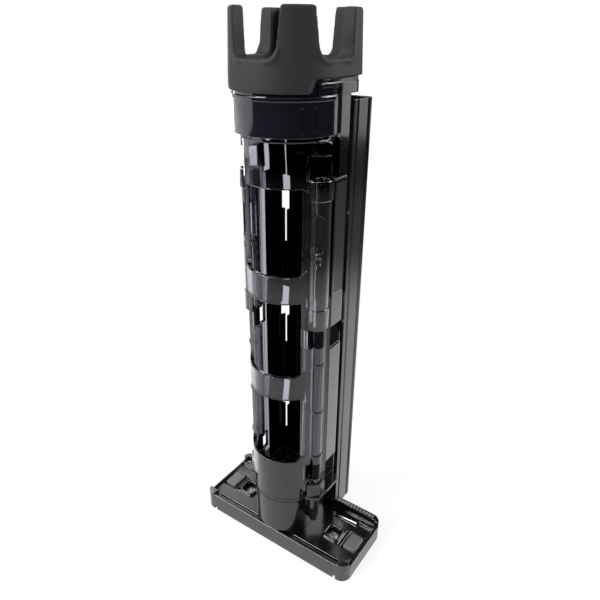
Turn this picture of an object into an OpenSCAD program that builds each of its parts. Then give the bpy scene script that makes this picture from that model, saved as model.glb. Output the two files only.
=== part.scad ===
// Upright rod stand. A clear-fronted D-shaped tube stands on a moulded foot, wears a soft
// crown that parts the rods, and carries a sliding mounting channel on its back.
// Z is up, -Y is the windowed front, and the tube's axis meets the ground at the origin.

/* [Tube] */
// Outer radius of the tube's round front, which is also half its width
tube_r = 20; // [17:0.5:24]
// Thickness of the tube's walls
tube_wall = 2; // [1.6:0.1:2.6]
// Distance from the tube's axis to the outer face of its back wall
tube_depth = 22; // [19:0.5:26]
// Outer radius of the tube's two rear corners
tube_corner = 2.6; // [2.6:0.2:5]
// Distance behind the axis where the clear shell meets the rear channel
split_y = 9.6; // [9.4:0.1:11]
// Height of the seam between the foot cup and the tube
seam_z = 38.6; // [32:0.2:44]
// Height of the tube's top edge, under the crown
tube_top = 261.3; // [255:0.1:275]
// Gap left between pieces that are fixed to each other
fit_gap = 0.2; // [0.1:0.05:0.3]

/* [Front windows] */
// Number of windows one above the other
window_count = 3; // [2:1:3]
// Height of each window
window_h = 41; // [30:1:44]
// Distance from one window to the next
window_pitch = 54.9; // [50:0.1:58]
// Height of the lowest window's sill
window_z = 66.2; // [60:0.2:70]
// Angle from the front to a window's side edge on the inner face
window_angle = 56; // [45:1:58]
// Angle from the front to a window's side edge on the outer face
window_flare = 63; // [60:1:64]

/* [Side notches] */
// Number of notches up each side
notch_count = 3; // [2:1:3]
// Height of each notch
notch_h = 13.5; // [10:0.5:16]
// Distance from the top notch up to the collar
notch_drop = 8.1; // [7:0.1:9.4]
// Height of the lowest notch's floor above the seam
notch_lift = 0; // [0:0.5:4]
// How deep the rear panels' notches are sunk
notch_depth = 1.4; // [0.8:0.1:1.5]
// Height of the lower notches in the clear shell
shell_notch_h = 10.8; // [8:0.2:13]
// Distance from one of the shell's lower notches to the next
shell_notch_pitch = 85.6; // [80:0.2:88]
// Height of the shell's lowest notch above the seam
shell_notch_lift = 12; // [10:0.5:14]

/* [Side columns] */
// Outer radius of the rounded column on each side
column_r = 5.8; // [5:0.1:6.4]
// How far inside the tube's side the column's centre lies
column_in = 1.6; // [0.4:0.1:2.4]
// Distance of the column's centre in front of the tube's axis
column_y = 2; // [1:0.1:3]
// Radius of the bar that stands in each column
bar_r = 2.9; // [2.3:0.1:3.2]
// How far outside the tube's side the bar's centre lies
bar_out = 0.4; // [0:0.1:1]
// Clearance round the bar in its bore
bar_fit = 0.1; // [0.05:0.01:0.2]
// Radius of the rings on the bar
bar_ring_r = 3.5; // [3.2:0.1:4]
// Distance between the bar's rings
bar_ring_pitch = 29.5; // [20:0.5:32]
// Radius of the locating peg in each top notch
peg_r = 2; // [1.8:0.1:3]
// How far outside the tube's side the peg's centre lies
peg_out = 1.2; // [0.6:0.1:1.6]
// Distance of the peg's centre behind the tube's axis
peg_y = 6.2; // [5.8:0.1:6.3]
// How far the housing's mouth stands above the top notch's floor
mouth_lift = 3; // [0:0.2:4]
// Width of the slot in the column
slot_w = 4.6; // [3:0.2:5]
// Height of the slot in the column
slot_h = 18; // [12:0.5:20]

/* [Rear channel] */
// Distance of each keyhole's centre from the tube's side
keyhole_in = 3.8; // [3.8:0.1:4.6]
// Width of the wide part of each keyhole
keyhole_w = 5.4; // [4.4:0.1:5.6]
// Width of the narrow part of each keyhole
keyhole_neck = 2.2; // [2:0.1:3.4]
// Height of each of a keyhole's two parts
keyhole_h = 18; // [12:0.5:20]
// Distance from one keyhole to the next
keyhole_pitch = 61.8; // [50:0.2:64]
// Height of the lowest keyhole
keyhole_z = 53.6; // [50:0.2:56]
// Depth of the shallow recess in each side panel
recess_depth = 0.6; // [0.3:0.1:0.9]
// Height of the foot of the side recesses
recess_z = 159; // [150:1:170]

/* [Collar] */
// Height of the collar's lower edge
collar_z = 239; // [235:0.5:241]
// Height of the collar's band
collar_h = 15.8; // [12:0.2:16.8]
// Thickness of the collar's band
collar_wall = 3.8; // [3:0.1:4.2]
// Clearance of the crown's apron round the ring above the band
crown_fit = 0.3; // [0.2:0.05:0.5]
// How far the bead at the band's top stands out
bead_out = 0.5; // [0.2:0.1:0.8]
// Height of the bead
bead_h = 1.6; // [1:0.1:2]
// How far the collar's side bands and rear lip stand out from the tube
lip_out = 4.2; // [3.4:0.1:4.6]
// Height of the lip that runs round the back
lip_h = 4.8; // [3:0.2:5]

/* [Crown] */
// How far the crown stands out from the tube's round front and sides
crown_over = 5.2; // [4.8:0.1:5.8]
// How far the crown stands out from the tube's back wall
crown_back = 3.2; // [2.8:0.1:3.6]
// Outer radius of the crown's rear corners
crown_corner = 7.4; // [7.4:0.2:9]
// Thickness of the crown's wall
crown_wall = 7; // [5.6:0.1:7.4]
// How far the crown's walls draw in towards their tops
crown_draft = 1; // [0:0.1:1.4]
// Height of the crown's prongs above its gap floors
prong_h = 18.9; // [14:0.1:22]
// Height of the band under the gaps
crown_band = 7; // [5:0.2:9]
// Depth of the apron that hangs over the collar at the front
apron_h = 5.6; // [4:0.2:6.2]
// Thickness of the apron
apron_wall = 1.7; // [1.2:0.1:2]
// Half width of the front and rear gaps at their floors
gap_half_w = 10.4; // [8:0.2:11]
// Half width of the side gaps at their floors
side_gap_half_w = 11; // [9:0.2:11.6]
// Slope of a prong's sides, as sideways distance over height
prong_taper = 0.07; // [0.03:0.01:0.15]

/* [Foot cup] */
// How far inside the tube's front the cup's core lies
core_in = 4.4; // [4:0.1:5]
// How far inside the tube's front the foot of the cup's lobe lies
lobe_in = 1.1; // [0.8:0.1:1.8]
// Gap between the front rim and the lobe above it
lobe_gap = 0.5; // [0.3:0.1:1]
// How far the foot cup's side shelves stand out from the tube
shelf_out = 5.4; // [4.8:0.1:5.8]
// Thickness of the side shelves
shelf_t = 2; // [1.4:0.1:3]
// Radius of the boss that plugs into the base
spigot_r = 11; // [8:0.5:12]

/* [Base] */
// Length of the base from side to side
base_l = 104; // [98:1:120]
// Distance of the front rim's inner face from the cup's core
base_lead = 0.6; // [0.4:0.1:2]
// How far the base runs on behind the tube
base_tail = 3.4; // [2.6:0.2:3.8]
// Radius of the base's corners
base_corner = 6; // [4:0.5:8]
// Height of the base's floor
floor_z = 8; // [6.5:0.1:9]
// Height of the front rim
front_rim_z = 11.4; // [10.4:0.1:13]
// Height of the back rim
back_rim_z = 13; // [12:0.1:16]
// Depth of the back rim's flat top
back_rim_w = 5; // [4:0.1:5.4]
// Thickness of the base's walls
base_wall = 1.8; // [1.4:0.1:2.2]
// Height of the corner feet below the skirt
foot_h = 0.9; // [0.8:0.1:2]

/* [Release buttons] */
// Length of each button's top, side to side
button_l = 8.2; // [7:0.2:9]
// Width of each button's top, front to back
button_w = 11.6; // [9:0.2:12]
// Distance of each button's middle from the base's end
button_in = 7.3; // [7:0.1:8.4]
// Distance of the buttons' middle behind the axis
button_y = 3.2; // [2:0.2:4]
// Slot left round each button
button_gap = 0.9; // [0.4:0.05:1]
// How far a button travels
button_travel = 1.6; // [1:0.1:1.8]
// Distance from each button to the screw beside it
screw_in = 13; // [12.8:0.1:14.6]
// Radius of a base screw's shank
screw_r = 2; // [1.5:0.1:2.2]
// Radius of a base screw's head
screw_head_r = 3.4; // [3:0.1:3.7]

/* [Mounting rail] */
// Width of the rail
rail_w = 37; // [34:0.5:40]
// Depth of the rail, front to back
rail_d = 15.4; // [13:0.2:20]
// Gap between the back wall and the rail
rail_gap = 5.2; // [4.4:0.1:8]
// Height of the rail's top
rail_top = 250.6; // [240:0.2:252]
// Height of the rail's foot
rail_foot = 0.6; // [0.4:0.1:2]
// Thickness of the rail's walls
rail_wall = 2; // [1.6:0.1:2.6]
// Radius of the two screw holes in the rail's back
rail_hole_r = 2.2; // [1.6:0.1:2.6]
// Height of the lower screw hole
rail_hole_z = 60; // [54:1:70]
// Distance between the two screw holes
rail_hole_pitch = 140; // [120:1:150]
// Height of the foot of the catch on the rail's back
catch_z = 152; // [140:1:164]
// Width of the catch
catch_w = 16; // [12:0.5:20]
// Height of the catch
catch_h = 13.6; // [11:0.2:16]
// Half width of the tongue's web
tongue_half_w = 4; // [3:0.2:5]
// Half width of the tongue's head
tongue_head = 9; // [8:0.2:11]
// Thickness of the tongue's head
tongue_t = 2; // [1.4:0.1:2.4]
// Clearance of the tongue in the rail
rail_fit = 0.3; // [0.2:0.05:0.4]

/* [Hidden] */
$fn = 96;

eps = 0.01;
column_x = tube_r - column_in;
bar_x = tube_r + bar_out;
peg_x = tube_r + peg_out;
keyhole_x = tube_r - keyhole_in;
collar_r = tube_r + collar_wall;
crown_r = tube_r + crown_over;
collar_ring_r = crown_r - apron_wall - crown_fit;
crown_depth = tube_depth + crown_back;
core_r = tube_r - core_in;
lobe_r = tube_r - lobe_in;
lobe_top_r = tube_r - 0.6;
lobe_z = front_rim_z + lobe_gap;
lip_r = tube_r + lip_out;
lip_depth = tube_depth + lip_out - 2;
shelf_half_w = tube_r + shelf_out;
base_front = core_r + base_lead + base_wall;
base_back = tube_depth + base_tail;
button_x = base_l/2 - button_in;
screw_x = button_x - screw_in;
inner_r = tube_r - tube_wall;
inner_depth = tube_depth - tube_wall;
inner_corner = tube_corner - tube_wall;
notch_z = seam_z + fit_gap + notch_lift;
notch_top = collar_z - notch_drop - notch_h;
notch_pitch = (notch_top - notch_z)/(notch_count - 1);
collar_top = collar_z + collar_h;
crown_z = tube_top + 0.3;
gap_floor = crown_z + crown_band;
crown_top = gap_floor + prong_h;
apron_z = crown_z - apron_h;
base_depth = base_front + base_back;
skirt_z = foot_h;
cup_z = floor_z;
foot_l = 7;
rib_y = 3 + base_wall - base_front;
rail_y = tube_depth + rail_gap;
bar_foot = seam_z + 1.4;
bar_bore = bar_r + bar_fit;
mouth_z = notch_top + mouth_lift;
bar_top = mouth_z - 1.6;
foot_w = 9;
rib_x = core_r - 2.6;
pocket_z = 5;
well_z = skirt_z + 0.8;
button_z = well_z + button_travel + 0.2;
lip_y = 4.6;
socket_x = bar_x - 0.7;
socket_z = 18.8;
socket_r = bar_r + 0.5;
shell_notch_z = seam_z + shell_notch_lift;
col_mid_z = shell_notch_z + (notch_count - 2)*shell_notch_pitch + shell_notch_h;
slot_z = recess_z + 28;
clip_h = 8.8;
clip_r = bar_r + 1.4;
cross_l = 1.35*screw_head_r;
cup_screw_x = 6;
cup_screw_r = 1.7;
catch_t = 1.6;
catch_lip_r = 2.4;
knurl_pitch = 2.1;
knurl_run = 23.5;
ink = [0.09, 0.09, 0.095];
smoke = [0.22, 0.22, 0.24, 0.55];

// Plan of the tube: round front, straight sides, flat back with rounded corners
module d_plan(r, depth, corner) {
    circle(r = r);
    translate([-r, 0]) square([2*r, depth - corner]);
    translate([corner - r, 0]) square([2*(r - corner), depth]);
    for (s = [-1, 1]) translate([s*(r - corner), depth - corner]) circle(r = corner);
}

module tube_bore() d_plan(inner_r, inner_depth, inner_corner);

module at_sides() { children(); mirror([1, 0, 0]) children(); }

// Rectangle with rounded corners, centred
module round_rect(l, w, r) {
    square([l - 2*r, w], center = true);
    square([l, w - 2*r], center = true);
    for (x = [-1, 1], y = [-1, 1]) translate([x*(l/2 - r), y*(w/2 - r)]) circle(r = r, $fn = 48);
}

// Outline of the base, grown or shrunk by g
module base_plan(g = 0) translate([0, (base_back - base_front)/2])
    round_rect(base_l + 2*g, base_depth + 2*g, base_corner + g);

// Blocks at the four corners of the base, from its outline inwards
module base_corners(h) for (s = [-1, 1], y = [-base_front, base_back - foot_w])
    translate([s > 0 ? base_l/2 - foot_l : -base_l/2, y, 0]) cube([foot_l, foot_w, h]);

// Base: a shallow ribbed tray with a high knurled back rim and a thin front rim
module base_plate() color(ink) difference() {
    union() {
        translate([0, 0, skirt_z]) linear_extrude(floor_z - skirt_z) base_plan();
        // feet that stand below the skirt at the corners
        intersection() {
            linear_extrude(floor_z) base_plan();
            base_corners(floor_z);
        }
        // front rim and its short returns round the corners
        intersection() {
            linear_extrude(front_rim_z) base_plan();
            union() {
                translate([-base_l/2, -base_front, 0]) cube([base_l, base_wall, front_rim_z]);
                difference() {
                    translate([-base_l/2, -base_front, 0])
                        cube([base_l, base_corner - 2.4, front_rim_z]);
                    translate([0, 0, -1]) linear_extrude(front_rim_z + 2) base_plan(-base_wall);
                }
            }
        }
        // raised blocks at the front rim's two ends
        intersection() {
            linear_extrude(front_rim_z + 0.8) base_plan();
            at_sides() translate([base_l/2 - foot_l, -base_front, 0])
                cube([foot_l, base_corner - 1.4, front_rim_z + 0.8]);
        }
        // low lips of the two ends, doubled on the inside
        linear_extrude(floor_z + 1) difference() { base_plan(); base_plan(-1.2); }
        translate([0, 0, floor_z - 1]) linear_extrude(1.6)
            difference() { base_plan(-1.7); base_plan(-2.2); }
        // back rim
        intersection() {
            linear_extrude(back_rim_z) base_plan();
            translate([-base_l/2, base_back - back_rim_w, 0])
                cube([base_l, back_rim_w, back_rim_z]);
        }
        // knurled grips on the back rim
        at_sides() for (x = [-knurl_run : knurl_pitch : 0])
            translate([base_l/2 - base_corner + x, base_back - back_rim_w + 0.7, 0])
                cube([knurl_pitch/2, back_rim_w - 1.8, back_rim_z + 0.8]);
        // thin front ribs, one each side of the cup
        at_sides() translate([rib_x, rib_y, 0]) cube([base_l/2 - 8 - rib_x, 1, floor_z + 1.8]);
        // bars between the screws and the back rim
        at_sides() translate([screw_x - 6.2, button_y + 11.4, 0])
            cube([button_x - 4.5 - screw_x + 6.2, 1.6, floor_z + 2.6]);
        at_sides() translate([button_x - 4.5, button_y + 13.6, 0]) cube([10.4, 1.2, floor_z + 2.2]);
        // raised frame of each screw pocket, with its corners cut off
        at_sides() translate([screw_x, button_y - 1, 0]) linear_extrude(floor_z + 1.6)
            difference() { frame_plan(5.3, 5.3); frame_plan(4.2, 4.2); }
        // ring that stiffens the seat of the cup
        linear_extrude(floor_z - eps) circle(r = spigot_r + 3);
    }
    // hollow underside, ribbed, with a solid foot in each corner
    difference() {
        translate([0, 0, -1]) linear_extrude(floor_z - 1.2) base_plan(-base_wall);
        translate([0, 0, -2]) base_corners(floor_z + 2);
        for (s = [-1, 1], x = [screw_x - 7.7, button_x - 7.3])
            translate([s*x - 0.7, -base_front, skirt_z]) cube([1.4, base_depth, floor_z]);
        for (y = [-9, 16]) translate([-base_l/2, y, skirt_z]) cube([base_l, 1.4, floor_z]);
        cylinder(r = spigot_r + 3, h = floor_z);
        at_sides() translate([screw_x, button_y - 1, skirt_z]) linear_extrude(floor_z)
            square([10.8, 10.8], center = true);
        at_sides() translate([button_x, button_y, skirt_z]) linear_extrude(floor_z)
            square([button_l + 2*button_gap + 2.4, button_w + 2*button_gap + 2.4], center = true);
    }
    // seat for the cup's boss, and its two screws from below
    translate([0, 0, 3]) cylinder(r = spigot_r + fit_gap, h = floor_z);
    for (s = [-1, 1]) translate([s*cup_screw_x, 0, -1]) {
        cylinder(r = cup_screw_r, h = floor_z, $fn = 48);
        cylinder(r = cup_screw_r + 1.5, h = 2.8, $fn = 48);
    }
    // screw pockets
    at_sides() translate([screw_x, button_y - 1, 0]) {
        translate([0, 0, pocket_z]) linear_extrude(floor_z) frame_plan(4.2, 4.2);
        translate([0, 0, -1]) cylinder(r = screw_r + 0.3, h = floor_z, $fn = 48);
    }
    // wells of the two buttons, each closed below by a thin floor
    at_sides() translate([button_x, button_y, well_z]) linear_extrude(floor_z)
        square([button_l + 2*button_gap, button_w + 2*button_gap], center = true);
    at_sides() translate([button_x, button_y, -1]) cylinder(r = 1.5, h = 4, $fn = 48);
    // slot that lets the bar beside each button flex
    at_sides() translate([button_x - button_l/2 - button_gap - 2.2, button_y - button_w/2, 4])
        cube([0.9, button_w, floor_z]);
    // slit in the front wall beside each front foot
    at_sides() translate([base_l/2 - foot_l - 1.6, -base_front - 1, -1])
        cube([1.6, base_wall + 2, skirt_z + 2.6]);
    // step cut along the inside of the back rim
    at_sides() translate([tube_r, base_back - back_rim_w - eps, floor_z + 1])
        cube([base_l/2 - 3 - tube_r, 1, back_rim_z]);
}

// Plan of a screw pocket: a rectangle with its corners cut off
module frame_plan(half_l, half_w, cut = 1.5) polygon([
    [cut - half_l, -half_w], [half_l - cut, -half_w], [half_l, cut - half_w], [half_l, half_w - cut],
    [half_l - cut, half_w], [cut - half_l, half_w], [-half_l, half_w - cut], [-half_l, cut - half_w]]);

// Square release button on its spring, with a skirt that guides it
module button() {
    translate([button_x, button_y, 0]) difference() {
        union() {
            translate([0, 0, button_z]) linear_extrude(floor_z + 0.7 - button_z)
                round_rect(button_l, button_w, 1.2);
            translate([0, 0, floor_z]) linear_extrude(1.2)
                round_rect(button_l - 0.8, button_w - 0.8, 1);
        }
        translate([0, 0, well_z]) cylinder(r = 2.9, h = 4, $fn = 48);
    }
}
module button_right() color(ink) button();
module button_left() color(ink) mirror([1, 0, 0]) button();

// Spring under each button, drawn as its coil's sleeve
module button_spring() translate([button_x, button_y, well_z]) difference() {
    cylinder(r = 2.5, h = 3.9, $fn = 48);
    translate([0, 0, -1]) cylinder(r = 1.8, h = 6, $fn = 48);
}
module button_spring_right() color("silver") button_spring();
module button_spring_left() color("silver") mirror([1, 0, 0]) button_spring();

// Two pan-head screws that hold the base down, with cross recesses
module base_screws() color("gray") at_sides() translate([screw_x, button_y - 1, pocket_z])
    difference() {
        union() {
            cylinder(r = screw_head_r, h = 1);
            intersection() {
                cylinder(r = screw_head_r, h = 2);
                translate([0, 0, 1.9 - 2.1*screw_head_r]) sphere(r = 2.1*screw_head_r);
            }
            translate([0, 0, -3.8]) cylinder(r = screw_r, h = 4);
        }
        translate([0, 0, 0.9]) for (a = [45, 135]) rotate(a)
            translate([-cross_l/2, -cross_l/9, 0]) cube([cross_l, cross_l/4.5, 3]);
    }

// Foot cup: a lobe over the front of a smaller D-shaped core, under a wide shelf
module foot_cup() color([0.13, 0.13, 0.135]) difference() {
    union() {
        // core
        translate([0, 0, cup_z]) linear_extrude(seam_z - fit_gap - cup_z)
            d_plan(core_r, tube_depth - 2.4, 4);
        cup_lobe();
        // shelf round the sides and back, its front corners cut back
        translate([0, 0, seam_z - fit_gap - shelf_t]) linear_extrude(shelf_t) {
            d_plan(lobe_top_r, tube_depth, tube_corner);
            at_sides() polygon([[0, -7.9], [tube_r - 0.6, -7.9], [shelf_half_w, -4.6],
                [shelf_half_w, 15.2], [tube_r - 2, 20], [0, 20]]);
        }
        at_sides() bar_socket();
        // boss that plugs into the base
        translate([0, 0, 4.2]) cylinder(r = spigot_r, h = 4);
    }
    // well for the rod butts
    translate([0, 0, cup_z + 3]) linear_extrude(seam_z)
        d_plan(core_r - 2, tube_depth - 4.4, 2.4);
    translate([0, 0, seam_z - shelf_t - 3]) linear_extrude(8)
        d_plan(core_r - 1, tube_depth - 3.4, 3);
    // pilot holes for the screws from below
    for (s = [-1, 1]) translate([s*cup_screw_x, 0, 3]) cylinder(r = cup_screw_r - 0.4, h = 6.6, $fn = 48);
}

// Lobe: part of a slightly tapered drum with a rounded lower edge, narrower towards the foot
module cup_lobe() intersection() {
    rotate_extrude() {
        polygon([[0, lobe_z], [lobe_r - 2, lobe_z], [lobe_r, lobe_z + 2],
            [lobe_top_r, seam_z - fit_gap], [0, seam_z - fit_gap]]);
        translate([lobe_r - 2, lobe_z + 2]) circle(r = 2, $fn = 48);
    }
    rotate([90, 0, 0]) linear_extrude(tube_r + 1) polygon([
        [-lobe_r*sin(37), lobe_z], [lobe_r*sin(37), lobe_z],
        [lobe_r*sin(45), lobe_z + 6], [lobe_r*sin(52.5), lobe_z + 15],
        [lobe_top_r*sin(57), seam_z], [-lobe_top_r*sin(57), seam_z],
        [-lobe_r*sin(52.5), lobe_z + 15], [-lobe_r*sin(45), lobe_z + 6]]);
}

// Round-ended socket that hangs under the shelf below each bar, on a web from the core
module bar_socket() {
    translate([socket_x, -column_y, socket_z]) {
        sphere(r = 2.4);
        cylinder(r1 = 2.4, r2 = socket_r, h = 10);
        translate([0, 0, 10]) cylinder(r = socket_r, h = seam_z - shelf_t - socket_z - 10);
    }
    translate([core_r - 3, -column_y - 1.6, socket_z])
        cube([socket_x - core_r + 3, 3.2, seam_z - shelf_t - socket_z]);
}

// Two screws from below that hold the cup to the base
module cup_screws() color("gray") for (s = [-1, 1]) translate([s*cup_screw_x, 0, 0]) {
    difference() {
        cylinder(r = cup_screw_r + 1.2, h = 1.8, $fn = 48);
        translate([0, 0, -eps]) for (a = [45, 135]) rotate(a)
            translate([-1.8, -0.4, 0]) cube([3.6, 0.8, 1]);
    }
    translate([0, 0, 1]) cylinder(r = cup_screw_r - 0.45, h = 8.2, $fn = 48);
}

// Openings in the front, flared outwards at their sides
module window_cuts() {
    xi = inner_r*sin(window_angle);
    yi = -inner_r*cos(window_angle);
    xo = tube_r*sin(window_flare);
    yo = -tube_r*cos(window_flare);
    k = (yo - yi)/(xo - xi);
    for (i = [0 : window_count - 1]) translate([0, 0, window_z + i*window_pitch]) intersection() {
        linear_extrude(window_h) polygon([
            [0, yi - k*xi], [2*xo, yi + k*(2*xo - xi)], [2*xo, -2*tube_r],
            [-2*xo, -2*tube_r], [-2*xo, yi + k*(2*xo - xi)]]);
        rotate([90, 0, 0]) linear_extrude(2*tube_r) window_outline(xo);
    }
}

// Front view of one window: round upper corners and small gussets in the lower ones
module window_outline(half_w, r = 2.2, gusset = 3) {
    polygon([[gusset - half_w, -eps], [half_w - gusset, -eps], [half_w, gusset], [half_w, window_h - r],
        [-half_w, window_h - r], [-half_w, gusset]]);
    translate([r - half_w, window_h - r]) square([2*(half_w - r), r + eps]);
    for (s = [-1, 1]) translate([s*(half_w - r), window_h - r]) circle(r = r, $fn = 64);
}

// Boxes along one side, one for each notch of the rear panels
module panel_notches(y0, y1) for (i = [0 : notch_count - 1])
    translate([0, y0, notch_z + i*notch_pitch]) cube([2*tube_r, y1 - y0, notch_h]);

// Clear front half of the tube, with its windows and the columns of both sides
module front_shell() color(smoke) {
    difference() {
        union() {
            translate([0, 0, seam_z + fit_gap]) linear_extrude(tube_top - seam_z - fit_gap)
                intersection() {
                    d_plan(tube_r, tube_depth, tube_corner);
                    translate([-2*tube_r, -2*tube_r]) square([4*tube_r, 2*tube_r + split_y]);
                }
            // neck flange under the collar
            translate([0, 0, collar_z - 2.2]) intersection() {
                cylinder(r = tube_r + 1.4, h = 2);
                translate([-2*tube_r, -2*tube_r, -1]) cube([4*tube_r, 2*tube_r + split_y, 4]);
            }
            at_sides() column_solid();
        }
        // the tube's bore, kept clear of the thicker walls behind the bars
        translate([0, 0, seam_z - 1]) linear_extrude(tube_top) difference() {
            tube_bore();
            for (s = [-1, 1]) translate([s*bar_x, -column_y]) circle(r = bar_r + 1.3);
        }
        window_cuts();
        at_sides() column_cuts();
    }
    at_sides() top_peg();
}

// Rounded column on one side: a housing above the middle notch, a short one under the collar
module column_solid() {
    for (z = [[col_mid_z, mouth_z], [notch_top + notch_h, collar_z - 2.2]])
        translate([column_x, -column_y, z[0]]) cylinder(r = column_r, h = z[1] - z[0]);
    // rims of the housing's mouth and foot
    translate([column_x, -column_y, mouth_z - 9]) cylinder(r = column_r + 0.7, h = 9);
    translate([column_x, -column_y, col_mid_z]) cylinder(r = column_r + 0.4, h = 11);
    // wall behind the bar, thickened inwards all the way down
    translate([0, 0, seam_z + fit_gap]) linear_extrude(mouth_z - seam_z - 1) intersection() {
        translate([bar_x, -column_y]) circle(r = bar_r + 1.3);
        d_plan(tube_r, tube_depth, tube_corner);
    }
}

module column_cuts() {
    // lower notches, in the wall in front of the bar
    for (i = [0 : notch_count - 2])
        translate([inner_r - 2, -8.3, shell_notch_z + i*shell_notch_pitch])
            cube([2*tube_r, 12.3, shell_notch_h]);
    // open notch under the peg, deeper behind the housing
    translate([inner_r - 2, -8.6, mouth_z]) cube([2*tube_r, 9.6 + split_y, notch_h - mouth_lift]);
    translate([inner_r - 2, column_r - column_y + 0.8, notch_top]) cube([2*tube_r, split_y, notch_h]);
    // bore of the bar
    translate([bar_x, -column_y, seam_z - 1]) cylinder(r = bar_bore, h = mouth_z - seam_z + 2);
    // slot with round ends and a small hole, facing outwards
    translate([column_x, -column_y, slot_z]) rotate(-54) {
        translate([0, -slot_w/2, slot_w/2]) cube([2*column_r, slot_w, slot_h - slot_w]);
        for (z = [slot_w/2, slot_h - slot_w/2]) translate([0, 0, z]) rotate([0, 90, 0])
            cylinder(r = slot_w/2, h = 2*column_r, $fn = 48);
        translate([0, 0, -4]) rotate([0, 90, 0]) cylinder(r = 1.4, h = 2*column_r, $fn = 48);
    }
    // strip sunk behind the column
    translate([tube_r - recess_depth - 0.2, column_r - column_y + 1, recess_z])
        cube([tube_r, split_y - column_r + column_y - 1.8, notch_top - 8.6 - recess_z]);
    // slits that let the foot of the shell spring over the cup
    rotate(-window_angle - 1) translate([-0.4, -tube_r - 1, seam_z - 1]) cube([0.8, 4, 7.4]);
}

// Peg with a round end that hangs in the top notch
module top_peg() translate([peg_x, peg_y, notch_top + peg_r + 1]) {
    sphere(r = peg_r);
    cylinder(r = peg_r, h = notch_h + 4);
}

// Opaque rear channel: side panels, back wall with keyholes, and the tongue for the rail
module rear_channel() color(ink) difference() {
    union() {
        translate([0, 0, seam_z + fit_gap]) linear_extrude(tube_top - seam_z - fit_gap)
            difference() {
                d_plan(tube_r, tube_depth, tube_corner);
                tube_bore();
                translate([-2*tube_r, -2*tube_r])
                    square([4*tube_r, 2*tube_r + split_y + fit_gap/2]);
            }
        // tongue that the rail slides on
        translate([0, 0, seam_z + 4]) linear_extrude(rail_top - seam_z - 12) {
            translate([-tongue_half_w, tube_depth - 1])
                square([2*tongue_half_w, rail_gap + rail_wall + rail_fit + 1.5]);
            translate([-tongue_head, rail_y + rail_wall + rail_fit])
                square([2*tongue_head, tongue_t]);
        }
    }
    at_sides() translate([tube_r - notch_depth, 0, 0]) panel_notches(split_y, tube_depth + 1);
    // keyholes near the two rear corners
    for (s = [-1, 1], i = [0 : 2])
        translate([s*keyhole_x, inner_depth - 1, keyhole_z + i*keyhole_pitch]) {
            translate([-keyhole_neck/2, 0, 0]) cube([keyhole_neck, tube_wall + 2, keyhole_h + 1]);
            translate([-keyhole_w/2, 0, keyhole_h]) cube([keyhole_w, tube_wall + 2, keyhole_h]);
            // thin slit above the top one
            if (i == 2) translate([-1, 0, 2*keyhole_h - 1]) cube([2, tube_wall + 2, keyhole_h]);
        }
    // shallow recess on the upper half of each side panel
    at_sides() translate([tube_r - recess_depth, split_y + 1.6, recess_z])
        cube([10, tube_depth - split_y - 2.8, notch_top - 2 - recess_z]);
}

// Ringed bar that stands in each column
module bar() translate([bar_x, -column_y, 0]) {
    translate([0, 0, bar_foot]) cylinder(r = bar_r, h = bar_top - bar_foot);
    for (z = [seam_z + 27.4 : bar_ring_pitch : col_mid_z - notch_h - 1])
        translate([0, 0, z]) intersection() {
            cylinder(r = bar_ring_r, h = 1.4);
            translate([tube_r - bar_x + fit_gap/2, -bar_ring_r - 1, -1])
                cube([2*bar_ring_r, 2*bar_ring_r + 2, 4]);
        }
}
module bar_right() color([0.16, 0.16, 0.17]) bar();
module bar_left() color([0.16, 0.16, 0.17]) mirror([1, 0, 0]) bar();

// Clip that holds the foot of each bar, standing on the cup's shelf with its face turned aside
module clip() difference() {
    translate([0, 0, seam_z]) linear_extrude(clip_h) polygon([
        [tube_r - 3, -7.9], [tube_r - 0.6, -7.9], [bar_x + clip_r, -3.2], [bar_x + clip_r, 1.4],
        [tube_r - 3, 1.4]]);
    translate([0, 0, seam_z - 1]) linear_extrude(clip_h + 2)
        d_plan(tube_r + fit_gap, tube_depth, tube_corner);
    translate([bar_x, -column_y, bar_foot - fit_gap]) cylinder(r = bar_bore, h = clip_h);
}
module clip_right() color(ink) clip();
module clip_left() color(ink) mirror([1, 0, 0]) clip();

// Everything in front of a place along Y
module front_part(y) translate([-2*tube_r, -2*tube_r, 0]) cube([4*tube_r, 2*tube_r + y, tube_top]);

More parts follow.
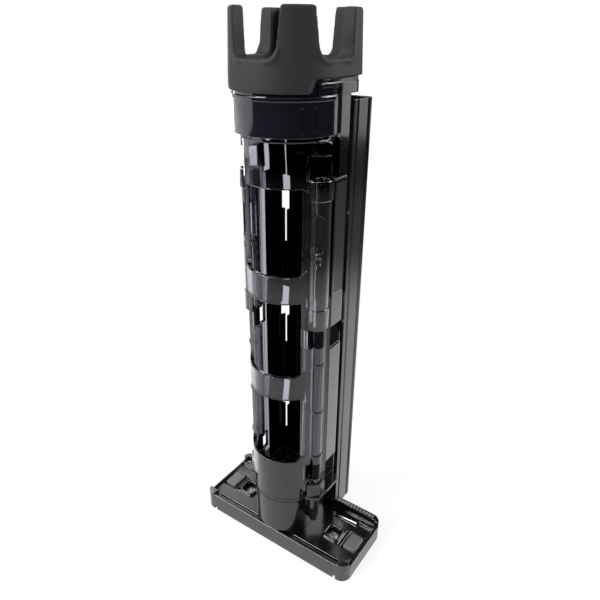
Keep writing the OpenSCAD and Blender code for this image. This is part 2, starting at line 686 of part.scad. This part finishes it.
// Collar: the smoked band, the ring the crown fits over, and the lip round the sides and back
module collar() color([0.16, 0.16, 0.18, 0.8]) difference() {
    union() {
        // band, ending where the side panels begin
        intersection() {
            translate([0, 0, collar_z]) cylinder(r = collar_r, h = collar_h);
            front_part(split_y);
        }
        // bead round the band's top, and the bands that carry it on round the sides
        intersection() {
            translate([0, 0, collar_top - bead_h]) cylinder(r = collar_r + bead_out, h = bead_h);
            front_part(2);
        }
        intersection() {
            translate([0, 0, collar_top + 3.4]) linear_extrude(bead_h)
                d_plan(lip_r, lip_depth, crown_corner);
            difference() { front_part(lip_y + 1); front_part(-lip_r*cos(68.5)); }
        }
        at_sides() rotate(68.5) translate([0, -lip_r, collar_top - bead_h])
            translate([-0.8, 0, 0]) cube([1.6, lip_r - tube_r + 1, bead_h + 3.4 + bead_h]);
        // ring inside the crown's apron
        translate([0, 0, collar_top - eps]) linear_extrude(tube_top - collar_top)
            d_plan(collar_ring_r, tube_depth + 1.6, 5);
        // lip round the back
        translate([0, 0, collar_top - eps]) linear_extrude(lip_h) difference() {
            d_plan(lip_r, lip_depth, crown_corner);
            translate([-2*tube_r, -2*tube_r]) square([4*tube_r, 2*tube_r + lip_y]);
        }
    }
    // the tube passes through
    translate([0, 0, collar_z - 1]) linear_extrude(tube_top)
        d_plan(tube_r + fit_gap/2, tube_depth + fit_gap/2, tube_corner);
    // outlines of the two moulded catches on the band
    at_sides() for (a = [49.5, 65]) rotate(a - 90) translate([collar_r - 0.5, -0.35, collar_z + 2.6])
        cube([2, 0.7, 9]);
}

// One wall of the crown, drafted outside and rounded on top, as the section that runs round
module crown_section(r, round_r = 1.3) {
    top = crown_top - round_r;
    polygon([[r - crown_wall, crown_z], [r, crown_z], [r - crown_draft, top], [r - crown_wall, top]]);
    translate([r - crown_wall + round_r, top - eps])
        square([crown_wall - crown_draft - 2*round_r, round_r + eps]);
    for (x = [r - crown_wall + round_r, r - crown_draft - round_r])
        translate([x, top]) circle(r = round_r, $fn = 48);
}

// Crown: a soft cap whose four prongs part the rods
module crown() color([0.24, 0.24, 0.245]) difference() {
    union() {
        // front arc, straight sides, rear corners and back
        intersection() {
            rotate_extrude() crown_section(crown_r);
            translate([-2*crown_r, -2*crown_r, 0]) cube([4*crown_r, 2*crown_r, 2*crown_top]);
        }
        at_sides() rotate([90, 0, 180]) linear_extrude(crown_depth - crown_corner)
            mirror([1, 0, 0]) crown_section(crown_r);
        at_sides() translate([crown_r - crown_corner, crown_depth - crown_corner, 0])
            intersection() {
                rotate_extrude() crown_section(crown_corner);
                cube([crown_corner + 1, crown_corner + 1, 2*crown_top]);
            }
        translate([crown_corner - crown_r, 0, 0]) rotate([90, 0, 90])
            linear_extrude(2*(crown_r - crown_corner)) crown_section(crown_depth);
        // apron over the collar
        intersection() {
            rotate_extrude() translate([crown_r - apron_wall, apron_z + apron_wall/2]) {
                square([apron_wall, apron_h - apron_wall/2 + eps]);
                translate([apron_wall/2, 0]) circle(r = apron_wall/2, $fn = 48);
            }
            rotate([90, 0, 0]) linear_extrude(2*crown_r) polygon([
                [-crown_r*sin(60), crown_z + 1], [crown_r*sin(60), crown_z + 1],
                [crown_r*sin(54), apron_z], [-crown_r*sin(54), apron_z]]);
        }
    }
    gap_cut(gap_half_w, 4*crown_r);
    translate([0, 1.2, 0]) rotate(90) gap_cut(side_gap_half_w, 4*crown_r);
}

// Gap between prongs: a U with rounded floor corners and sides that lean apart
module gap_cut(half_w, depth) {
    f = 4;
    lean = prong_taper*prong_h;
    translate([0, depth/2, gap_floor]) rotate([90, 0, 0]) linear_extrude(depth) {
        translate([-(half_w - f), 0]) square([2*(half_w - f), f + eps]);
        for (s = [-1, 1]) translate([s*(half_w - f), f]) circle(r = f, $fn = 48);
        polygon([[-half_w, f], [half_w, f], [half_w + lean, prong_h + 1], [-half_w - lean, prong_h + 1]]);
    }
}

// Mounting rail: an open-fronted channel that hangs on the tongue
module mounting_rail() color([0.17, 0.17, 0.175]) {
    difference() {
        translate([0, 0, rail_foot]) linear_extrude(rail_top - rail_foot) rail_plan();
        // ends of the foot rounded off, as seen from the side
        translate([-rail_w, rail_y + rail_d - 5, rail_foot - 1]) difference() {
            cube([2*rail_w, 6, 6]);
            translate([-1, 0, 6]) rotate([0, 90, 0]) cylinder(r = 5, h = 2*rail_w + 2, $fn = 64);
        }
        // screw holes through the back
        for (z = [0, rail_hole_pitch]) translate([0, rail_y + rail_d/2, rail_hole_z + z])
            rotate([-90, 0, 0]) cylinder(r = rail_hole_r, h = rail_d, $fn = 64);
    }
}

module rail_plan() difference() {
    union() {
        translate([-rail_w/2 + 0.6, rail_y]) square([rail_w - 1.2, rail_d]);
        translate([-rail_w/2, rail_y + 3.4]) square([rail_w, rail_d - 3.4]);
        // outward flange at the rear edge
        translate([-rail_w/2 - 0.7, rail_y + rail_d - 2.6]) square([rail_w + 1.4, 1.8]);
    }
    translate([-rail_w/2 + rail_wall, rail_y + rail_wall]) square([rail_w - 2*rail_wall, rail_d - 2*rail_wall]);
    translate([-tongue_half_w - rail_fit, rail_y - 1])
        square([2*(tongue_half_w + rail_fit), rail_wall + 2]);
}

// Catch on the back of the rail
module rail_catch() color([0.17, 0.17, 0.175]) translate([0, rail_y + rail_d, 0]) {
    translate([-catch_w/2, 0, catch_z]) cube([catch_w, catch_t, catch_h]);
    translate([-catch_w/2, 0, catch_z + 1.25*catch_lip_r]) rotate([0, 90, 0]) intersection() {
        cylinder(r = catch_lip_r, h = catch_w, $fn = 48);
        translate([-2*catch_lip_r, 0, 0]) cube([4*catch_lip_r, 2*catch_lip_r, catch_w]);
    }
}

base_plate();
button_left();
button_right();
button_spring_left();
button_spring_right();
base_screws();
foot_cup();
cup_screws();
front_shell();
rear_channel();
bar_left();
bar_right();
clip_left();
clip_right();
collar();
crown();
mounting_rail();
rail_catch();
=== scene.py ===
import math

import bmesh
import bpy
from mathutils import Matrix, Vector


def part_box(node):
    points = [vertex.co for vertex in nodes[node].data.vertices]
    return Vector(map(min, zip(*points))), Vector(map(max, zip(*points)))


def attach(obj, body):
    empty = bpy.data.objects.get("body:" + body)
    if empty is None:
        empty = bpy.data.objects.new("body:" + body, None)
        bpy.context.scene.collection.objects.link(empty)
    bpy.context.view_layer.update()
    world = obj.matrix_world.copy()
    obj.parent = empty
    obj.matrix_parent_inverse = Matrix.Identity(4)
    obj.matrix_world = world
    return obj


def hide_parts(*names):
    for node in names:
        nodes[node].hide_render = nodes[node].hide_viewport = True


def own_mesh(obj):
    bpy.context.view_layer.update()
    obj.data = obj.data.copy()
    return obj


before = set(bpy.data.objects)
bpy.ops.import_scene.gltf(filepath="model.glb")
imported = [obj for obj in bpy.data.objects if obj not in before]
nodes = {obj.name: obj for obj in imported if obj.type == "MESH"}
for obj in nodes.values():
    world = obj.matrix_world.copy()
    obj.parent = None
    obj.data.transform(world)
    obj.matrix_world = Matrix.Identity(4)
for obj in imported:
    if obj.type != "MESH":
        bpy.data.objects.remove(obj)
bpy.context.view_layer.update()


# Camera
# Stands in front of the stand's right-hand corner, level with the crown,
# and looks down along the tube as the photograph does.
camera_at = (0.14884, -0.20726, 0.28035)
yaw, pitch, roll = (math.radians(a) for a in (34.2986, 26.0971, 0.5374))
focal_mm, sensor_mm, nearest = 33.624, 36, 0.01
ahead = Vector((-math.sin(yaw)*math.cos(pitch), math.cos(yaw)*math.cos(pitch), -math.sin(pitch)))
level = Vector((math.cos(yaw), math.sin(yaw), 0))
upward = level.cross(ahead)
right = level*math.cos(roll) + upward*math.sin(roll)
up = upward*math.cos(roll) - level*math.sin(roll)
turn = Matrix((right, up, -ahead)).transposed().to_4x4()
camera = bpy.data.objects.new("camera", bpy.data.cameras.new("camera"))
camera.data.lens, camera.data.sensor_width, camera.data.clip_start = focal_mm, sensor_mm, nearest
camera.matrix_world = Matrix.Translation(camera_at) @ turn
bpy.context.scene.collection.objects.link(camera)
bpy.context.scene.camera = camera
bpy.context.scene.view_settings.view_transform = "Standard"


# Floor and room
# A white table top that runs off into white, under a large soft box. Further soft lights
# stand in front on the left for the edges, behind for the upward faces, and on the right.
class Value:
    """A shader socket that sums can be written with."""
    def __init__(self, finish, out):
        self.finish, self.out = finish, out

    def sum(self, operation, *terms):
        return self.finish.node("Math", {"operation": operation}, dict(enumerate(terms)))

    def __add__(self, other): return self.sum("ADD", self, other)
    def __radd__(self, other): return self.sum("ADD", other, self)
    def __sub__(self, other): return self.sum("SUBTRACT", self, other)
    def __rsub__(self, other): return self.sum("SUBTRACT", other, self)
    def __mul__(self, other): return self.sum("MULTIPLY", self, other)
    def __rmul__(self, other): return self.sum("MULTIPLY", other, self)
    def __pow__(self, other): return self.sum("POWER", self, other)
    def __abs__(self): return self.sum("ABSOLUTE", self)
    def over(self, other): return self.sum("GREATER_THAN", self, other)

    def between(self, low, high):
        """1 between low and high, else 0."""
        return self.over(low)*(1 - self.over(high))

    def ramp(self, low, high):
        """0 below low, 1 above high, smooth between."""
        return self.finish.node("MapRange", {"interpolation_type": "SMOOTHSTEP"},
                                {"Value": self, "From Min": low, "From Max": high})


class Finish:
    """A material, or a world's nodes, and the one way its nodes are made."""
    def __init__(self, name, tree=None):
        if tree is None:
            self.material = bpy.data.materials.new(name)
            self.material.use_nodes = True
            tree = self.material.node_tree
        self.tree = tree
        tree.nodes.clear()

    def node(self, kind, settings=None, sockets=None, out=0):
        """A node of this kind with its settings and the values or links of its sockets."""
        made = self.tree.nodes.new("ShaderNode" + kind)
        for name, value in (settings or {}).items():
            setattr(made, name, value)
        for name, value in (sockets or {}).items():
            if isinstance(value, Value):
                self.tree.links.new(value.out, made.inputs[name])
            else:
                made.inputs[name].default_value = value
        return Value(self, made.outputs[out]) if made.outputs else made

    def place(self, scale=(1, 1, 1)):
        """Object coordinates, stretched by scale."""
        at = self.node("TexCoord", out="Object")
        return self.node("Mapping", {}, {"Vector": at, "Scale": scale})

    def places(self):
        """How far a point is along X, Y and Z."""
        return [self.node("SeparateXYZ", {}, {0: self.place()}, out=axis) for axis in range(3)]

    def paths(self):
        """1 for rays from the camera, for those straight through clear pieces, and for mirrored ones."""
        seen, clear, shine, mirrors = (self.node("LightPath", out=name) for name in (
            "Is Camera Ray", "Is Transmission Ray", "Is Glossy Ray", "Glossy Depth"))
        straight = clear*(1 - mirrors.over(0.5))
        return seen, straight, (clear + shine).over(0.5)*(1 - straight)

    def grain(self, size, detail=2, scale=(1, 1, 1), rough=0.5):
        """Noise whose lumps are about size metres across."""
        return self.node("TexNoise", {}, {"Vector": self.place(scale), "Scale": 1/size,
                                          "Detail": detail, "Roughness": rough})

    def blend(self, mask, one, two):
        """Colour one where mask is 0, colour two where it is 1."""
        return self.node("Mix", {"data_type": "RGBA"}, {0: mask, 6: one, 7: two}, out=2)

    def bump(self, height, depth):
        """A normal for a relief of that depth in metres."""
        return self.node("Bump", {}, {"Height": height, "Distance": depth, "Strength": 1})

    def surface(self, sockets):
        """Ends the material in one plastic or metal shader with these sockets."""
        shader = self.node("BsdfPrincipled", {}, sockets)
        self.node("OutputMaterial", {}, {"Surface": shader})
        return self.material


def new_piece(name, shape, finish):
    """Turns a bmesh into a smooth-shaded object at the origin."""
    mesh = bpy.data.meshes.new(name)
    shape.to_mesh(mesh)
    shape.free()
    mesh.shade_smooth()
    mesh.materials.append(finish)
    piece = bpy.data.objects.new(name, mesh)
    bpy.context.scene.collection.objects.link(piece)
    return piece


table_r, table_sides = 6, 96
table = bmesh.new()
bmesh.ops.create_circle(table, cap_ends=True, segments=table_sides, radius=table_r)
full_white, no_light, table_paint = (1, 1, 1, 1), (0, 0, 0, 1), (0.86, 0.86, 0.86, 1)
white = Finish("white_table")
seen, through, mirrored = white.paths()
across, along, _ = white.places()
# The distance from the tube, in which places on its left count for less.
far = (along*along + across*across*(0.2 + 0.8*across.over(0)))**0.5
glow = white.node("Emission", {}, {"Color": full_white, "Strength": 1.0})
paint = white.node("BsdfDiffuse", {}, {"Color": table_paint})
black = white.node("Emission", {}, {"Color": no_light, "Strength": 1.0})
# The near table is a little darker than white, and the far one fades out in mirrored rays.
share = (seen + through + mirrored)*(0.72 + 0.28*far.ramp(0.05, 0.3))
fade = mirrored*(0.88*far.ramp(0.3, 0.5) + 0.12*far.ramp(0.7, 0.95))
near = white.node("MixShader", {}, {0: share, 1: paint, 2: glow})
white.node("OutputMaterial", {}, {"Surface": white.node("MixShader", {}, {0: fade, 1: near, 2: black})})
new_piece("table_top", table, white.material)

room = bpy.data.worlds.new("room")
room.use_nodes = True
air = Finish("room", room.node_tree)
seen, through, mirrored = air.paths()
air.node("OutputWorld", {}, {"Surface": air.node("Background", {}, {
    "Color": full_white, "Strength": 0.25 + 0.75*(seen + through) - 0.24*mirrored})})
bpy.context.scene.world = room


def lamp(name, size, power, stands, aims, tint=(1, 1, 1)):
    """A rectangular soft light of that size in metres, turned towards the point it aims at."""
    light = bpy.data.lights.new(name, "AREA")
    light.shape, (light.size, light.size_y) = "RECTANGLE", size
    light.energy, light.color = power, tint
    holder = bpy.data.objects.new(name, light)
    holder.visible_camera = holder.visible_transmission = False
    holder.matrix_world = Matrix.Translation(stands) @ (
        (Vector(aims) - Vector(stands)).to_track_quat("-Z", "Y").to_matrix().to_4x4())
    bpy.context.scene.collection.objects.link(holder)


lamp("soft_box", (0.9, 0.9), 2.6, (0.1, -0.25, 0.95), (0, 0, 0.1))
lamp("edge_light", (0.4, 0.4), 7, (-0.62, -0.53, 0.9), (0, 0, 0.1))
lamp("front_edge_light", (0.4, 0.25), 9, (-0.38, -0.88, 0.6), (0, 0, 0))
lamp("right_edge_light", (0.4, 0.25), 2, (0.9, 0.6, 0.42), (0, 0, 0))
lamp("rear_sky", (0.7, 0.8), 3, (-0.98, 0.62, 0.8), (0, 0, 0))
lamp("left_card", (1.3, 0.2), 0.8, (-0.6, -0.08, 0.2), (0, -0.08, 0.2), (0.95, 0.95, 1))
lamp("left_strip", (0.05, 0.6), 0.9, (-0.5, 0.3, 0.35), (0, 0, 0.2))
lamp("right_fill", (0.5, 0.5), 7, (0.55, 0.6, 0.62), (0, 0, 0.1))
lamp("rear_card", (0.12, 0.1), 0.036, (0.232, 0.468, 0.2), (0, 0, 0.25))


# Base plate and its two buttons
# One ribbed tray moulded in black plastic with a fine satin skin, which the cup stands on.
# The buttons are moulded in a matt grade of it and ride up and down in their wells.
corner_angle, weld = math.radians(30), 1e-6


def is_corner(edge):
    """Whether two faces meet at the edge in more than a slight bend."""
    return edge.is_manifold and edge.calc_face_angle(0) > corner_angle


def cut_edges(shape, edges, offset, segments):
    """Bevels these edges, offset metres to each side."""
    bmesh.ops.bevel(shape, geom=edges, offset=offset, offset_type="OFFSET", segments=segments,
                    profile=0.5, affect="EDGES", clamp_overlap=False, material=-1)


def eased(name, stands_for, body, finish, radius=0.00012, chamfer=0, low=None, high=None):
    """A copy of a CAD node whose corners are eased as a mould leaves them. Those between
    the points low and high, on both sides of the middle, are cut to a chamfer first."""
    shape = bmesh.new()
    shape.from_mesh(nodes[stands_for].data)
    bmesh.ops.remove_doubles(shape, verts=shape.verts, dist=weld)
    if chamfer:
        within = {v for v in shape.verts
                  if all(a < c < b for a, c, b in zip(low, (abs(v.co.x), v.co.y, v.co.z), high))}
        cut = [e for e in shape.edges if within.issuperset(e.verts) and is_corner(e)]
        cut_edges(shape, cut, chamfer, 1)
    cut_edges(shape, [e for e in shape.edges if is_corner(e)], radius, 2)
    piece = new_piece(name, shape, finish)
    piece.modifiers.new("flat_faces", "WEIGHTED_NORMAL").weight = 100
    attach(piece, body)
    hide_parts(stands_for)


base_dark, base_rubbed = (0.004, 0.004, 0.005, 1), (0.008, 0.008, 0.009, 1)
base_black = Finish("base_black_plastic")
skin = base_black.grain(0.0009, 3)
wipe = base_black.grain(0.012, 3, (1, 1, 2))
base_finish = base_black.surface({
    "Base Color": base_black.blend(wipe.ramp(0.45, 0.75), base_dark, base_rubbed),
    "Roughness": 0.13 + 0.1*wipe, "Specular IOR Level": 0.9,
    "Normal": base_black.bump(skin, 0.00002)})
# The top front edge of the bar behind each screw.
bar_edge_low, bar_edge_high, bar_chamfer = (0.02, 0.0144, 0.0104), (0.05, 0.0148, 0.0108), 0.0011
eased("base_tray", "base_plate", "stand", base_finish, 0.00036,
      bar_chamfer, bar_edge_low, bar_edge_high)

matt_dark, matt_pale = (0.07, 0.07, 0.073, 1), (0.1, 0.1, 0.105, 1)
matt = Finish("matt_black_plastic")
pimples = matt.grain(0.0005)
matt_finish = matt.surface({
    "Base Color": matt.blend(pimples, matt_dark, matt_pale),
    "Roughness": 0.4 + 0.15*pimples, "Specular IOR Level": 0.8,
    "Normal": matt.bump(pimples, 0.00003)})
for side in ("left", "right"):
    eased(side + "_button_cap", "button_" + side, side + "_button", matt_finish, 0.00025)


# Screws
# Zinc-plated steel: two pan-head screws in the base's pockets, and two under the cup,
# which can't be seen and keep their CAD shape.
def dress(names, finish):
    """Gives CAD nodes this finish."""
    for name in names:
        data = nodes[name].data
        data.materials.clear()
        data.materials.append(finish)


zinc_dull, zinc_bright = (0.35, 0.35, 0.36, 1), (0.65, 0.65, 0.67, 1)
zinc = Finish("zinc_steel")
turned = zinc.grain(0.0004, 2, (1, 1, 6))
zinc_finish = zinc.surface({
    "Base Color": zinc.blend(turned, zinc_dull, zinc_bright),
    "Metallic": 1.0, "Roughness": 0.28 + 0.2*turned, "Normal": zinc.bump(turned, 0.00002)})
eased("pan_screws", "base_screws", "stand", zinc_finish, 0.00015)
dress(("cup_screws",), zinc_finish)


# Button springs
# A coil of steel wire in the bore under each button, built at rest and fixed to the stand;
# it is not made to shorten as the button goes down.
# The wire's end faces are flat, and the lowest turn rests on the base.
wire_r, wire_sides, coil_turns, coil_steps, press = 0.0003, 8, 4, 80, 0.0016
for side in ("left", "right"):
    low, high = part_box("button_spring_" + side)
    middle = (low + high)/2
    coil_r = (high.x - low.x)/2 - wire_r
    climb = (high.z - low.z - 2*wire_r)/coil_steps
    coil = bmesh.new()
    bmesh.ops.create_circle(coil, segments=wire_sides, radius=wire_r)
    bmesh.ops.rotate(coil, verts=coil.verts, matrix=Matrix.Rotation(math.radians(90), 3, "X"))
    bmesh.ops.translate(coil, verts=coil.verts, vec=(middle.x + coil_r, middle.y, low.z + wire_r))
    bmesh.ops.spin(coil, geom=coil.verts[:] + coil.edges[:], cent=(middle.x, middle.y, 0),
                   axis=(0, 0, 1), dvec=(0, 0, climb), angle=2*math.pi*coil_turns, steps=coil_steps)
    bmesh.ops.holes_fill(coil, edges=coil.edges, sides=wire_sides)
    bmesh.ops.recalc_face_normals(coil, faces=coil.faces)
    spring = new_piece(f"{side}_button_spring", coil, zinc_finish)
    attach(spring, "stand")
    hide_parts("button_spring_" + side)
    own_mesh(spring)


# Foot cup, rear channel and clips
# Moulded in glossy black plastic; the cup plugs into the base and carries the tube,
# and the clips stand on the cup's shelf. The channel's side panels are polished, and their
# sunk notches and the channel's inside are made a black mirror as painted shade.
gloss_dark, gloss_dust = (0.008, 0.008, 0.009, 1), (0.04, 0.04, 0.042, 1)
gloss = Finish("gloss_black_plastic")
peel = gloss.grain(0.004, 2, (1, 1, 0.4))
dust = gloss.grain(0.0006).ramp(0.72, 0.8)
gloss_finish = gloss.surface({
    "Base Color": gloss.blend(dust, gloss_dark, gloss_dust),
    "Roughness": 0.1 + 0.1*peel + 0.2*dust, "Specular IOR Level": 0.5,
    "Coat Weight": 0.08, "Coat Roughness": 0.04, "Normal": gloss.bump(peel, 0.00003)})

# Where the panels' sunk faces lie, out from the middle and front to back, how high their
# notches and the dull upper recess are, and how far out and back the channel's inside goes.
sunk_out, sunk_back, upper_recess = (0.0183, 0.0198), (0.0098, 0.0212), (0.1592, 0.2152)
notch_floors, notch_low, notch_high = (0.0388, 0.1281, 0.2174), 0.0002, 0.0133
inside_out, inside_back = 0.0182, 0.0204
panel = Finish("panel_black_plastic")
across, back, above = panel.places()
out = abs(across)
sunk = out.between(*sunk_out)*back.between(*sunk_back)
notches = sum(above.between(floor + notch_low, floor + notch_high) for floor in notch_floors)
dull = sunk*(notches + above.between(*upper_recess)*0.4)
painted_shade_inside = (1 - out.over(inside_out))*(1 - back.over(inside_back))
fine = panel.grain(0.004, 2, (1, 1, 0.4))
# Near-black metal with no coat in the channel's inside and the panels' sunk notches is painted shade.
panel_finish = panel.surface({
    "Base Color": (0.006, 0.006, 0.007, 1), "Metallic": painted_shade_inside + sunk*notches,
    "Roughness": 0.06 + 0.08*fine + 0.8*dull, "Specular IOR Level": 0.42,
    "Coat Weight": (1 - dull)*(1 - painted_shade_inside), "Coat Roughness": 0.04,
    "Normal": panel.bump(fine, 0.00003)})
eased("cup", "foot_cup", "stand", gloss_finish, 0.0002)
eased("back_channel", "rear_channel", "stand", panel_finish)
for side in ("left", "right"):
    eased(side + "_clip", "clip_" + side, "stand", gloss_finish, 0.0002)


# Front shell
# Clear smoked plastic, moulded in one with the columns on both sides and clipped to the
# channel. It is darker where it is thick. Behind the columns, where it runs back into the
# channel, it is painted black and made a dark mirror as painted shade.
tube_r, column_depth, seam_back = 0.0203, (-0.0085, 0.0046), 0.0064
wall_low, wall_high = (0.33, 0.32, 0.37, 1), (0.45, 0.44, 0.5, 1)
smoke_thick, smoke_painted_shade = (0.2, 0.195, 0.22, 1), (0.008, 0.008, 0.01, 1)
smoke = Finish("clear_smoke_plastic")
wave = smoke.grain(0.01, 2, (1, 1, 0.3))
across, back, above = smoke.places()
thick = (across*across + back*back).over(tube_r**2)*back.between(*column_depth)
# Behind seam_back the shell is set black and metal: painted shade.
painted_shade_rear = back.over(seam_back)
wall = smoke.blend(above.ramp(0.09, 0.15), wall_low, wall_high)
clear = smoke.blend(thick, wall, smoke_thick)
smoke_finish = smoke.surface({
    "Base Color": smoke.blend(painted_shade_rear, clear, smoke_painted_shade),
    "Metallic": painted_shade_rear, "Coat Weight": 0.8*thick, "Roughness": 0.02 + 0.03*wave,
    "Transmission Weight": 1.0, "IOR": 1.5, "Specular IOR Level": 0.8,
    "Normal": smoke.bump(wave, 0.00004)})
eased("clear_shell", "front_shell", "stand", smoke_finish, 0.0004)


# Ringed bars
# Smoked plastic rods with moulded rings, which stand in the bores of the side columns.
# Where they stand bare in a notch they are painted black and made a dark mirror without coat,
# as painted shade.
shaded_notch_heights, bar_painted_shade = ((0.0506, 0.0614), (0.1362, 0.147)), (0.006, 0.006, 0.008, 1)
bar_dark, bar_pale = (0.2, 0.19, 0.23, 1), (0.28, 0.265, 0.32, 1)
bars = Finish("bar_plastic")
drawn = bars.grain(0.002, 2, (1, 1, 0.2))
above = bars.places()[2]
bare = sum(above.between(*heights) for heights in shaded_notch_heights)
# Black metal with no coat where a bar stands bare in a notch is painted shade.
dress(("bar_left", "bar_right"), bars.surface({
    "Base Color": bars.blend(bare, bars.blend(drawn, bar_dark, bar_pale), bar_painted_shade),
    "Metallic": bare, "Coat Weight": 0.4 - 0.4*bare, "Roughness": 0.05 + 0.05*drawn,
    "Transmission Weight": 1.0, "Specular IOR Level": 0.6, "Normal": bars.bump(drawn, 0.00004)}))


# Collar
# A darker band of the same smoked plastic, pushed over the tube's top,
# with its name panel left bare.
band_dark, band_pale = (0.004, 0.004, 0.006, 1), (0.009, 0.008, 0.013, 1)
band = Finish("dark_smoke_plastic")
ripple = band.grain(0.006)
band_finish = band.surface({
    "Base Color": band.blend(ripple, band_dark, band_pale),
    "Roughness": 0.06 + 0.06*ripple, "Specular IOR Level": 0.8, "Coat Weight": 0.5,
    "Coat Roughness": 0.03, "Normal": band.bump(ripple, 0.00004)})
eased("dark_collar", "collar", "stand", band_finish, 0.0002)


# Crown
# A soft rubber cap moulded in one, with a raised bead round each gap's floor,
# pushed over the collar's ring. Its own skin is matt and slightly speckled.
low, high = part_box("crown")
face_in, bead_drop, gap_depth = 0.0003, 0.001, 0.0189
rubber_r, gap_floor = high.x - face_in, high.z - gap_depth
front_gap, side_gap, side_shift = 0.0112, 0.0118, 0.0012


def gap_bead(half_width, corner=0.0045, rise=0.005, flare=0.0004):
    """The bead round one gap's floor, as places across the gap and heights above the floor."""
    turns = [math.radians(a) for a in range(0, 91, 15)]
    half = [(half_width - corner + corner*math.cos(a), corner - corner*math.sin(a)) for a in turns]
    half = [(half_width + flare, rise)] + half
    return half + [(-u, h) for u, h in reversed(half)]


def bead(shape, route, radius=0.0013, inset=0.0006):
    """Adds a round bead, thin at its ends, along a route that lies on the crown's face."""
    line = bpy.data.curves.new("bead", "CURVE")
    line.dimensions, line.bevel_depth, line.bevel_resolution, line.use_fill_caps = "3D", radius, 3, True
    spline = line.splines.new("POLY")
    spline.points.add(len(route) - 1)
    for at, (point, place) in enumerate(zip(spline.points, route)):
        point.radius = min(1, 0.35 + 0.3*min(at, len(route) - 1 - at))
        inwards = Vector((place[0], place[1], 0)).normalized()*inset
        point.co = (*(Vector(place) - inwards), 1)
    holder = bpy.data.objects.new("bead", line)
    shape.from_mesh(holder.to_mesh())
    holder.to_mesh_clear()
    bpy.data.objects.remove(holder)


cap = bmesh.new()
cap.from_mesh(nodes["crown"].data)
bmesh.ops.remove_doubles(cap, verts=cap.verts, dist=weld)
front_bead = [(u, gap_floor + h - bead_drop) for u, h in gap_bead(front_gap)]
bead(cap, [(u, -math.sqrt(rubber_r**2 - u**2), z) for u, z in front_bead])
bead(cap, [(u, high.y - face_in, z) for u, z in front_bead])
side_bead = [(u + side_shift, gap_floor + h - bead_drop) for u, h in gap_bead(side_gap)]
for side in (-1, 1):
    bead(cap, [(side*math.sqrt(rubber_r**2 - min(v, 0)**2), v, z) for v, z in side_bead])

rubber_dark, rubber_pale = (0.012, 0.012, 0.0135, 1), (0.02, 0.02, 0.0215, 1)
rubber = Finish("soft_rubber")
speck = rubber.grain(0.0007, 4, rough=0.7)
cloud = rubber.grain(0.02)
crown_cap = new_piece("rubber_crown", cap, rubber.surface({
    "Base Color": rubber.blend(0.6*speck + 0.4*cloud, rubber_dark, rubber_pale),
    "Roughness": 0.6 + 0.2*cloud, "Specular IOR Level": 0.35,
    "Normal": rubber.bump(speck, 0.00006)}))
# One skin over the cap and its beads, then softened.
one_skin = crown_cap.modifiers.new("skin", "REMESH")
one_skin.mode, one_skin.voxel_size, one_skin.use_smooth_shade = "VOXEL", 0.00038, True
melt = crown_cap.modifiers.new("melt", "SMOOTH")
melt.factor, melt.iterations = 0.5, 10
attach(crown_cap, "top_crown")
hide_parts("crown")


# Mounting rail and its catch
# A deep black channel with a smooth skin, drawn lengthwise, that slides on the tube's tongue.
# The catch is fixed to its back.
rail_dark, rail_pale = (0.007, 0.007, 0.008, 1), (0.014, 0.014, 0.015, 1)
rail = Finish("rail_satin_black")
streak = rail.grain(0.003, 3, (1, 1, 0.06))
rail_finish = rail.surface({
    "Base Color": rail.blend(streak, rail_dark, rail_pale),
    "Roughness": 0.12 + 0.12*streak, "Specular IOR Level": 0.9, "Coat Weight": 0.25,
    "Coat Roughness": 0.1, "Normal": rail.bump(streak, 0.00004)})
eased("rail_channel", "mounting_rail", "rail", rail_finish, 0.0003)
eased("rail_clip", "rail_catch", "rail", rail_finish, 0.0002)
